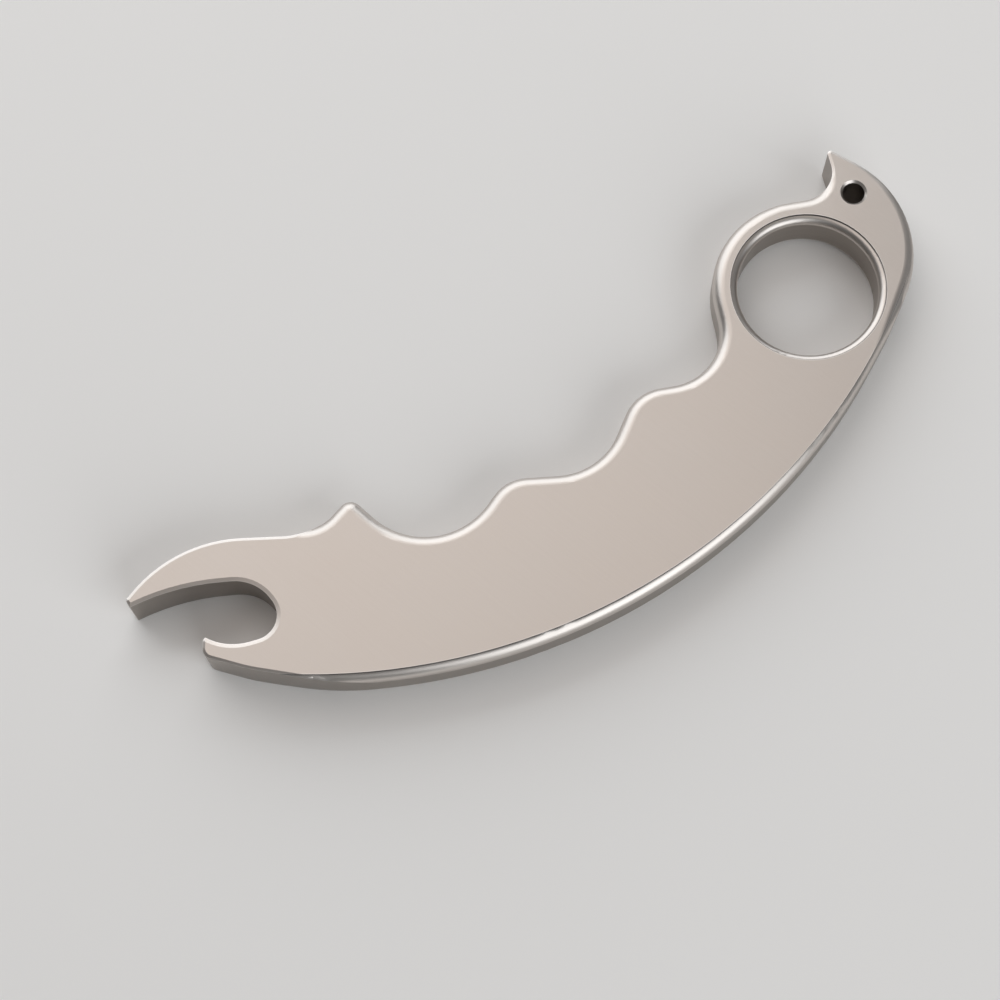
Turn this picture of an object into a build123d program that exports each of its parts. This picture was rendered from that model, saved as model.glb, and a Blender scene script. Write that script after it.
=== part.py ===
from build123d import *
import math
import os

# A karambit-shaped bottle opener milled from one flat plate.
# The origin is the centre of the finger ring at half the plate's thickness.
# +X runs from the beak to the ring, +Y points to the finger grooves, +Z is normal to the plate.
# All sizes are in millimetres.

plate_thickness = 9.5
ring_bore_radius = 12.5
ring_outer_radius = 16.9
lanyard_hole_radius = 2.0
lanyard_hole_centre = (16.6, 11.2)

rim_bevel_width = 0.5
mouth_bevel_width = 0.68
bevel_depth = 0.18
lanyard_chamfer = 0.4
grip_roundover = 2.05
bore_roundover = 1.35
bore_shoulder = 0.35
spine_roundover = 2.0
spine_shoulder = 0.35

half_thickness = plate_thickness / 2

os.makedirs("parts", exist_ok=True)

# Every outline is a closed chain of circles joined by straight tangents, walked clockwise.
# A circle is its centre, its radius and the side that the metal is on:
# a crest has the metal inside the circle, a hollow has the metal outside it.
CREST = -1
HOLLOW = 1

# The grip, from the beak's root to the notch behind the ring.
thumb_dip = (-97.0, 16.9, 11.5, HOLLOW)
guard = (-90.2, 4.8, 2.15, CREST)
groove_front = (-74.6, 6.0, 13.05, HOLLOW)
crest_front = (-64.0, -11.7, 7.5, CREST)
groove_middle = (-50.4, 3.3, 12.0, HOLLOW)
crest_rear = (-35.0, -10.1, 8.0, CREST)
groove_rear = (-26.4, 5.9, 10.0, HOLLOW)
finger_ring = (0.0, 0.0, ring_outer_radius, CREST)
ring_shoulder = (2.3, 8.65, 8.0, CREST)
notch = (11.2, 19.2, 5.05, HOLLOW)
grip_circles = [guard, groove_front, crest_front, groove_middle, crest_rear,
                groove_rear, finger_ring, ring_shoulder]

# The pommel, the spine, the chin under the jaw and the beak.
hook_tip = (17.2, 19.75, 0.55, CREST)
pommel_back = (2.45, 6.3, 20.0, CREST)
spine = (-54.6, 76.6, 110.1, CREST)
spine_land = (-54.0, 78.95, 111.0)
chin = (-75.3, 28.65, 57.9, CREST)
lip_belly = (-100.8, 8.45, 26.1, CREST)
lip_front = (-121.85, -4.6, 1.9, CREST)
lip_tip = (-122.35, -3.1, 0.7, CREST)
nose = (-129.9, 5.0, 1.0, CREST)
beak_end = (-130.35, 9.95, 0.55, CREST)
beak_back = (-120.0, -11.5, 24.35, CREST)

# The bottle mouth, as the shape of what is cut away: under the beak, round the throat and out over the lip.
beak_underside = (-132.95, -32.15, 41.05, CREST)
throat_top = (-117.0, -2.75, 7.65, CREST)
throat_back = (-113.6, -2.95, 4.3, CREST)
throat_bottom = (-113.75, 2.9, 9.95, CREST)
mouth_exit_low = (-124.15, -1.95, 1.5, HOLLOW)
mouth_exit_left = (-140.0, -3.0, 2.0, CREST)
mouth_exit_high = (-140.0, 6.5, 2.5, CREST)
mouth_circles = [mouth_exit_high, beak_underside, throat_top, throat_back, throat_bottom,
                 mouth_exit_low, mouth_exit_left]

# Where the round-over fades out: its pass drifts away from the thumb dip, the notch and the pommel.
thumb_dip_drift = (-95.46, 12.15, 6.5, HOLLOW)
notch_drift = (10.43, 18.28, 3.85, HOLLOW)
pommel_drift = (2.45, 7.5, 21.0, CREST)

# Run-outs, where a milling pass swings clear of the plate.
beak_run_out = (-123.4, -7.9, 27.5, CREST)
hook_run_out = (15.9, 21.0, 2.15, CREST)
lip_run_out = (-121.0, -0.6, 1.2, HOLLOW)
spine_run_out = (-44.0, -50.0, 5.0, CREST)
chin_run_out = (-44.0, -45.0, 5.0, CREST)
rear_run_out = (67.4, 27.15, 5.0, CREST)

# How far the rim pass stays outside the round-overs, and how far a cutter overshoots the face.
grip_clearance = 0.15
overlap = 0.02


def grown(circle, growth):
    """The same arc moved outward from its metal."""
    x, y, radius, side = circle
    return (x, y, radius - side * growth, side)


def heading_between(first, second):
    """Direction of the straight that leaves the first circle and meets the second."""
    span_x, span_y = second[0] - first[0], second[1] - first[1]
    offset = second[3] * second[2] - first[3] * first[2]
    return math.atan2(span_y, span_x) - math.asin(offset / math.hypot(span_x, span_y))


def point_on(circle, heading):
    """Point of the circle where a walk along it has this heading."""
    x, y, radius, side = circle
    return (x + side * radius * math.sin(heading), y - side * radius * math.cos(heading))


def outline(circles):
    """Face inside a closed chain of circles and the straights between them."""
    following = circles[1:] + circles[:1]
    headings = [heading_between(*pair) for pair in zip(circles, following)]
    edges = []
    for i, circle in enumerate(circles):
        side = circle[3]
        arrive, leave = headings[i - 1], headings[i]
        turn = side * ((side * (leave - arrive)) % (2 * math.pi))
        end = point_on(circle, leave)
        edges.append(ThreePointArc(point_on(circle, arrive), point_on(circle, arrive + turn / 2), end))
        edges.append(Line(end, point_on(following[i], leave)))
    return make_face(Wire(edges))


def plate(face, half_height):
    """Plate of this outline, centred on the middle plane."""
    return extrude(face, amount=half_height, both=True)


def rims(solid, half_height):
    """Edges around the top and the bottom face."""
    return [edge for edge in solid.edges() if abs(abs(edge.center().Z) - half_height) < 1e-4]


def both_faces(tool):
    """A cutter for the top face and its mirror image for the bottom face."""
    return tool + mirror(tool, Plane.XY)


def grip_pass():
    """Soft round-over along the grip and the pommel."""
    face = outline([beak_run_out, thumb_dip_drift, *grip_circles, notch_drift, hook_run_out,
                    pommel_drift, spine_run_out])
    solid = plate(face, half_thickness)
    return fillet(rims(solid, half_thickness), grip_roundover)


def rim_pass():
    """Shallow bevel around the beak, the lip, the chin and the hook."""
    clear_of_grip = [grown(circle, grip_clearance) for circle in grip_circles]
    face = outline([beak_back, thumb_dip, *clear_of_grip, notch, hook_tip, pommel_back, chin_run_out,
                    chin, lip_belly, lip_front, lip_tip, lip_run_out, nose, beak_end])
    solid = plate(face, half_thickness)
    for end in (-1, 0):
        flat = solid.faces().sort_by(Axis.Z)[end]
        solid = chamfer(flat.edges(), rim_bevel_width, bevel_depth, reference=flat)
    return solid


def spine_pass():
    """Round-over along the spine, sunk a little so that it leaves a shoulder at the face."""
    seat = half_thickness - spine_shoulder
    lower = plate(outline([spine, rear_run_out]), seat)
    land_x, land_y, land_radius = spine_land
    land = plate(Pos(land_x, land_y) * Circle(land_radius), half_thickness)
    return fillet(rims(lower, seat), spine_roundover) + land


def mouth_cutter():
    """The bottle mouth, flared at both faces."""
    prism = plate(outline(mouth_circles), plate_thickness)
    flare_growth = mouth_bevel_width * (bevel_depth + overlap) / bevel_depth
    wide = outline([grown(circle, flare_growth) for circle in mouth_circles])
    flare = loft([Pos(0, 0, half_thickness - bevel_depth) * outline(mouth_circles),
                  Pos(0, 0, half_thickness + overlap) * wide], ruled=True)
    return prism + both_faces(flare)


def ring_cutter():
    """The finger ring's bore, rounded over at both faces with a small shoulder around it."""
    seat = half_thickness - bore_shoulder
    rim_radius = ring_bore_radius + bore_roundover
    section = Polyline((0, 0), (ring_bore_radius, 0), (ring_bore_radius, seat - bore_roundover))
    section += CenterArc((rim_radius, seat - bore_roundover), bore_roundover, 90, 90)
    section += Polyline((rim_radius, seat), (rim_radius, half_thickness + overlap),
                        (0, half_thickness + overlap), (0, 0))
    return both_faces(revolve(Plane.XZ * make_face(section), Axis.Z))


def lanyard_cutter():
    """The lanyard hole with a countersink at both faces."""
    countersink_depth = lanyard_chamfer + overlap
    countersink = Cone(lanyard_hole_radius, lanyard_hole_radius + countersink_depth, countersink_depth)
    countersink = Pos(0, 0, half_thickness + overlap - countersink_depth / 2) * countersink
    hole = Cylinder(lanyard_hole_radius, 2 * plate_thickness)
    return Pos(*lanyard_hole_centre) * (hole + both_faces(countersink))


opener_body = grip_pass() & rim_pass() & spine_pass()
opener_body = opener_body - mouth_cutter() - ring_cutter() - lanyard_cutter()
opener_body.label = "opener_body"
export_step(opener_body, "parts/opener_body.step")

box = opener_body.bounding_box()
print("opener_body", opener_body.is_valid, len(opener_body.solids()), round(opener_body.volume, 1), box.size)
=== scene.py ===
import math

import bpy
from mathutils import Matrix, Vector


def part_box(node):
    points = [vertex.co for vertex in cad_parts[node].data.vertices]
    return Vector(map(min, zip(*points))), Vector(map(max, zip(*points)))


# The looks of a machined steel bottle opener that lies on a pale table. Lengths are in metres.
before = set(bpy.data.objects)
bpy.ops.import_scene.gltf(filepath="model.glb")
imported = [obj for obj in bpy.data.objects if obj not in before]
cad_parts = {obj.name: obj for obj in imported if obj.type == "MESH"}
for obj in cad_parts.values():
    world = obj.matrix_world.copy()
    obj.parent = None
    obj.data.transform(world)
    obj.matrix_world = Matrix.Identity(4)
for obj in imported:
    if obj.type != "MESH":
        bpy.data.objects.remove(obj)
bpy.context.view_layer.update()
scene = bpy.context.scene
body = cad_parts["opener_body"]

# Camera, above the beak's side and looking down on the plate at a slight slant.
CAMERA_PLACE = Vector((-0.12025, -0.11134, 0.39058))
CAMERA_RIGHT = Vector((0.86504, -0.50144, -0.01648))
CAMERA_UP = Vector((0.48393, 0.82528, 0.29107))
CAMERA_LENS_MM = 84.31
CAMERA_SENSOR_MM = 36.0
CAMERA_NEAR = 0.01

camera_data = bpy.data.cameras.new("camera")
camera_data.lens = CAMERA_LENS_MM
camera_data.sensor_width = CAMERA_SENSOR_MM
camera_data.clip_start = CAMERA_NEAR
camera = bpy.data.objects.new("camera", camera_data)
scene.collection.objects.link(camera)
camera_axes = Matrix((CAMERA_RIGHT, CAMERA_UP, CAMERA_RIGHT.cross(CAMERA_UP))).transposed()
camera.matrix_world = Matrix.Translation(CAMERA_PLACE) @ camera_axes.to_4x4()
scene.camera = camera


# Short ways to make shader nodes. A mix node has its own pair of inputs for each kind of value, all
# with the same names, so its inputs and outputs are picked by number.
def add(tree, kind, values=(), **settings):
    """A new node. values are (input, value or output to link) pairs."""
    made = tree.nodes.new(kind)
    for name, value in settings.items():
        setattr(made, name, value)
    for key, value in values:
        if isinstance(value, bpy.types.NodeSocket):
            tree.links.new(value, made.inputs[key])
        else:
            made.inputs[key].default_value = value
    return made


def maths(tree, operation, first, second=0.0):
    """Result of one maths node. The second number is unused by an operation on one."""
    return add(tree, "ShaderNodeMath", [(0, first), (1, second)], operation=operation).outputs[0]


def step(tree, value, low, high, to_low=0.0, to_high=1.0):
    """Smooth step from to_low at low to to_high at high."""
    ends = [("From Min", low), ("From Max", high), ("To Min", to_low), ("To Max", to_high)]
    return add(tree, "ShaderNodeMapRange", [("Value", value), *ends],
               interpolation_type="SMOOTHSTEP").outputs[0]


def blend(tree, factor, first, second):
    """A number between first and second."""
    return add(tree, "ShaderNodeMix", [(0, factor), (2, first), (3, second)],
               data_type="FLOAT").outputs[0]


def blend_colour(tree, factor, first, second):
    """A colour between first and second."""
    return add(tree, "ShaderNodeMix", [(0, factor), (6, first), (7, second)],
               data_type="RGBA").outputs[2]


def streaks(tree, place, size, angle=0.0, detail=2.0):
    """Noise whose cells have this size along X, Y and Z, turned about Z."""
    turned = add(tree, "ShaderNodeMapping",
                 [("Vector", place), ("Rotation", (0.0, 0.0, angle)), ("Scale", size)],
                 vector_type="TEXTURE").outputs[0]
    return add(tree, "ShaderNodeTexNoise",
               [("Vector", turned), ("Scale", 1.0), ("Detail", detail)]).outputs[0]


# Satin steel: faintly brushed faces, milled walls and round-overs, painted shade on walls and in corners,
# and a painted highlight on sharp edges.
STEEL = (0.611, 0.567, 0.532, 1.0)
# The walls get a darker colour: painted shade for the dark surroundings that steep walls reflect.
WALL_SHADE_STEEL = (0.350, 0.315, 0.285, 1.0)
# A pale colour on sharp convex edges is a painted highlight.
EDGE_GLINT_STEEL = (0.820, 0.805, 0.790, 1.0)
# A near-black colour in concave corners is painted shade.
CORNER_SHADE_STEEL = (0.100, 0.100, 0.105, 1.0)

# The grain's direction, the size of each noise's cells, how much of the grain is long streaks, the
# detail of the fine noises, and the noise values where a noise's effect bottoms out and peaks.
GRAIN_ANGLE = math.radians(-68.7)
FINE_GRAIN = (0.0050, 0.00016, 0.0050)
LONG_GRAIN = (0.0160, 0.00045, 0.0160)
MILL_LINES = (0.0300, 0.0300, 0.00050)
CLOUDS = (0.018, 0.018, 0.018)
LONG_GRAIN_SHARE = 0.4
FINE_DETAIL = 3.0
NOISE_LOW, NOISE_HIGH = 0.3, 0.7

# How far each noise moves the brightness, the roughness and the surface.
FACE_TONE = 0.015
MILL_TONE = 0.06
CLOUD_TONE = 0.015
FACE_ROUGHNESS = 0.36
REST_ROUGHNESS = 0.35
LINE_ROUGHNESS = 0.03
CLOUD_ROUGHNESS = 0.02
GRAIN_DEPTH = 0.0000015
MILL_DEPTH = 0.0000050

# The normal's upright part where the look of a flat face starts and is full, and where a wall's painted
# shade starts and is full.
FACE_LIFT = (0.990, 0.9995)
WALL_SHADE_LIFT = (0.12, 0.02)

# Painted highlight on sharp edges and painted shade in corners: the reach, the openness where each starts
# and ends, and how much of its colour shows.
GLINT_REACH = 0.00020
GLINT_OPENNESS = (0.97, 0.70)
GLINT_AMOUNT = 0.55
CORNER_SHADE_REACH = 0.00060
CORNER_SHADE_OPENNESS = (0.93, 0.62)
CORNER_SHADE_AMOUNT = 0.85
OPENNESS_SAMPLES = 16


def spread(tree, noise, amount, middle=0.0):
    """Noise turned into a number that strays from the middle by this amount at most."""
    return step(tree, noise, NOISE_LOW, NOISE_HIGH, middle - amount, middle + amount)


def openness(tree, reach, inside):
    """How open the surface is within this reach: low in corners, or at sharp edges when looking inside."""
    return add(tree, "ShaderNodeAmbientOcclusion", [("Distance", reach)], inside=inside,
               only_local=True, samples=OPENNESS_SAMPLES).outputs["AO"]


def satin_steel():
    """The opener's one material."""
    material = bpy.data.materials.new("satin_steel")
    material.use_nodes = True
    tree = material.node_tree
    tree.nodes.clear()
    where = add(tree, "ShaderNodeTexCoord")
    place = where.outputs["Object"]
    upright = add(tree, "ShaderNodeSeparateXYZ", [(0, where.outputs["Normal"])]).outputs[2]
    lift = maths(tree, "ABSOLUTE", upright)
    on_face = step(tree, lift, *FACE_LIFT)
    wall_shade = step(tree, lift, *WALL_SHADE_LIFT)

    fine = streaks(tree, place, FINE_GRAIN, GRAIN_ANGLE, FINE_DETAIL)
    long = streaks(tree, place, LONG_GRAIN, GRAIN_ANGLE)
    milled = streaks(tree, place, MILL_LINES, detail=FINE_DETAIL)
    clouds = streaks(tree, place, CLOUDS)
    grain = blend(tree, LONG_GRAIN_SHARE, fine, long)
    # A painted highlight on sharp edges, where the surface is closed off from inside.
    edge_glint = step(tree, openness(tree, GLINT_REACH, True), *GLINT_OPENNESS)
    # Painted shade in concave corners and creases.
    corner_shade = step(tree, openness(tree, CORNER_SHADE_REACH, False), *CORNER_SHADE_OPENNESS)

    # Painted shade: steep walls get the darker colour.
    base = blend_colour(tree, wall_shade, STEEL, WALL_SHADE_STEEL)
    base = blend_colour(tree, maths(tree, "MULTIPLY", edge_glint, GLINT_AMOUNT), base, EDGE_GLINT_STEEL)
    base = blend_colour(tree, maths(tree, "MULTIPLY", corner_shade, CORNER_SHADE_AMOUNT), base, CORNER_SHADE_STEEL)
    face_tone = spread(tree, grain, FACE_TONE, 1.0)
    mill_tone = spread(tree, milled, MILL_TONE, 1.0)
    cloud_tone = spread(tree, clouds, CLOUD_TONE, 1.0)
    tone = maths(tree, "MULTIPLY", cloud_tone, blend(tree, on_face, mill_tone, face_tone))
    colour = add(tree, "ShaderNodeVectorMath", [(0, base), ("Scale", tone)],
                 operation="SCALE").outputs[0]

    rough = blend(tree, on_face, REST_ROUGHNESS, FACE_ROUGHNESS)
    lines = blend(tree, on_face, milled, grain)
    rough = maths(tree, "ADD", rough, spread(tree, lines, LINE_ROUGHNESS))
    rough = maths(tree, "ADD", rough, spread(tree, clouds, CLOUD_ROUGHNESS))

    mill_height = maths(tree, "MULTIPLY", milled, MILL_DEPTH / GRAIN_DEPTH)
    height = blend(tree, on_face, mill_height, grain)
    bump = add(tree, "ShaderNodeBump",
               [("Strength", 1.0), ("Distance", GRAIN_DEPTH), ("Height", height)]).outputs[0]
    shader = add(tree, "ShaderNodeBsdfPrincipled",
                 [("Base Color", colour), ("Metallic", 1.0), ("Roughness", rough), ("Normal", bump)])
    add(tree, "ShaderNodeOutputMaterial", [("Surface", shader.outputs[0])])
    return material


body.material_slots[0].material = satin_steel()

# The table.
FLOOR_HALF_SIZE = 3.0
FLOOR_GAP = 0.00005
FLOOR_COLOUR = (0.90, 0.885, 0.87, 1.0)
FLOOR_ROUGHNESS = 0.80
CORNER_SIGNS = ((-1, -1), (1, -1), (1, 1), (-1, 1))

floor_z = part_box("opener_body")[0].z - FLOOR_GAP
floor_corners = [(x * FLOOR_HALF_SIZE, y * FLOOR_HALF_SIZE, floor_z) for x, y in CORNER_SIGNS]
floor_mesh = bpy.data.meshes.new("floor")
floor_mesh.from_pydata(floor_corners, [], [(0, 1, 2, 3)])
floor = bpy.data.objects.new("floor", floor_mesh)
scene.collection.objects.link(floor)
floor_material = bpy.data.materials.new("floor")
floor_material.use_nodes = True
floor_shader = floor_material.node_tree.nodes["Principled BSDF"]
floor_shader.inputs["Base Color"].default_value = FLOOR_COLOUR
floor_shader.inputs["Roughness"].default_value = FLOOR_ROUGHNESS
floor_mesh.materials.append(floor_material)

# Studio light: broad panels behind and in front, one overhead and a weak one beyond the ring.
PANEL_TARGET = Vector((-0.055, -0.007, 0.0))
PANEL_DISTANCE = 1.0
COOL = (1.0, 1.037, 1.063)
WHITE = (1.0, 1.0, 1.0)
WARM = (1.0, 0.920, 0.865)


def panel(name, azimuth, elevation, width, height, radiance, colour):
    """A soft panel that faces the opener, hung in a direction in degrees and sized in metres."""
    turn, rise = math.radians(azimuth), math.radians(elevation)
    away = Vector((math.cos(turn) * math.cos(rise), math.sin(turn) * math.cos(rise), math.sin(rise)))
    data = bpy.data.lights.new(name, "AREA")
    data.shape = "RECTANGLE"
    data.size, data.size_y = width, height
    data.energy = radiance * math.pi * width * height
    data.color = colour
    lamp = bpy.data.objects.new(name, data)
    scene.collection.objects.link(lamp)
    lamp.location = PANEL_TARGET + away * PANEL_DISTANCE
    lamp.rotation_euler = away.to_track_quat("Z", "Y").to_euler()
    lamp.visible_camera = False


panel("back_panel", 78, 28, 1.6, 1.0, 1.55, COOL)
panel("front_panel", 281, 25, 0.95, 1.0, 1.85, COOL)
panel("right_panel", 5, 25, 0.6, 0.7, 0.12, WHITE)
panel("top_panel", 98, 72, 1.0, 0.8, 0.90, WARM)

# The surroundings light the steel dimly and look pale to the camera.
AMBIENT = (0.14, 0.14, 0.14, 1.0)
BACKDROP = (0.72, 0.71, 0.70, 1.0)

world = bpy.data.worlds.new("studio")
world.use_nodes = True
scene.world = world
surroundings = world.node_tree.nodes["Background"]
is_seen = add(world.node_tree, "ShaderNodeLightPath").outputs["Is Camera Ray"]
shade = blend_colour(world.node_tree, is_seen, AMBIENT, BACKDROP)
world.node_tree.links.new(shade, surroundings.inputs["Color"])

scene.view_settings.view_transform = "Standard"
scene.view_settings.look = "None"
